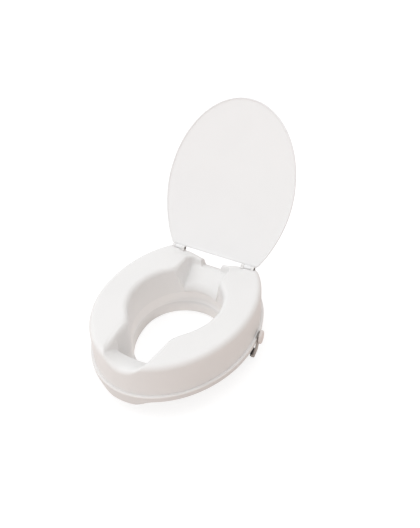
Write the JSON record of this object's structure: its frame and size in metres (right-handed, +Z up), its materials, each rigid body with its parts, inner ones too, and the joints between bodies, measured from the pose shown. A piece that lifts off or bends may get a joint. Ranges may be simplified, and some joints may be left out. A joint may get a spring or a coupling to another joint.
{
  "type": "raised toilet seat",
  "caption": "Raised toilet seat with a hinged lid, front and rear cut-outs, a front lip and side clamps that grip the bowl.",
  "frame": {"origin": "centre of the underside of the rear rest pad, on the symmetry plane, in the plane of the bowl rim", "axes": "+Z up, -Y towards the front of the bowl, +X to the left of a person seated on it; the symmetry plane is X = 0"},
  "size_m": [0.387, 0.6125, 0.4764],
  "materials": {
    "seat_plastic": "white satin moulded plastic",
    "base_plastic": "white satin moulded plastic",
    "lid_plastic": "white moulded plastic with a soft shine",
    "knob_plastic": "off-white moulded plastic",
    "bracket_plastic": "dark grey fine-textured plastic",
    "bush_plastic": "natural nylon",
    "pad_rubber": "dark non-slip rubber",
    "pin_steel": "darkened steel",
    "screw_steel": "zinc-plated steel"
  },
  "bodies": {
    "seat": {"seat_shell": "seat_plastic", "base_ring": "base_plastic", "assembly_screws": "screw_steel", "grip_pads": "pad_rubber", "hinge_block_left": "seat_plastic", "hinge_block_right": "seat_plastic", "hinge_screws": "screw_steel", "hinge_pin_left": "pin_steel", "hinge_pin_right": "pin_steel", "clamp_nut_left": "screw_steel", "clamp_nut_right": "screw_steel"},
    "lid": {"lid": "lid_plastic", "hinge_bush_left": "bush_plastic", "hinge_bush_right": "bush_plastic"},
    "bracket_left": {"clamp_bracket_left": "bracket_plastic", "clamp_pad_left": "pad_rubber", "clamp_washer_left": "screw_steel"},
    "bracket_right": {"clamp_bracket_right": "bracket_plastic", "clamp_pad_right": "pad_rubber", "clamp_washer_right": "screw_steel"},
    "knob_left": {"clamp_knob_left": "knob_plastic", "clamp_stud_left": "screw_steel", "clamp_clip_left": "screw_steel"},
    "knob_right": {"clamp_knob_right": "knob_plastic", "clamp_stud_right": "screw_steel", "clamp_clip_right": "screw_steel"}
  },
  "joints": [
    {"name": "lid_hinge", "type": "hinge", "parent": "seat", "child": "lid", "pos_m": [0, 0.0225, 0.096], "axis": [1, 0, 0], "range_deg": [0, 121]},
    {"name": "clamp_slide_left", "type": "slide", "parent": "seat", "child": "bracket_left", "axis": [-0.9877, 0.1564, 0], "range_m": [0, 0.012]},
    {"name": "clamp_slide_right", "type": "slide", "parent": "seat", "child": "bracket_right", "axis": [0.9877, 0.1564, 0], "range_m": [0, 0.012]},
    {"name": "knob_spin_left", "type": "hinge", "parent": "bracket_left", "child": "knob_left", "pos_m": [-0.176, -0.097, 0.008], "axis": [-0.9877, 0.1564, 0], "range_deg": [0, 1440]},
    {"name": "knob_spin_right", "type": "hinge", "parent": "bracket_right", "child": "knob_right", "pos_m": [0.176, -0.097, 0.008], "axis": [0.9877, 0.1564, 0], "range_deg": [0, 1440]}
  ],
  "couplings": [
    {"joint": "knob_spin_left", "follows": "clamp_slide_left", "rad_per_m": 2094.4},
    {"joint": "knob_spin_right", "follows": "clamp_slide_right", "rad_per_m": 2094.4}
  ]
}
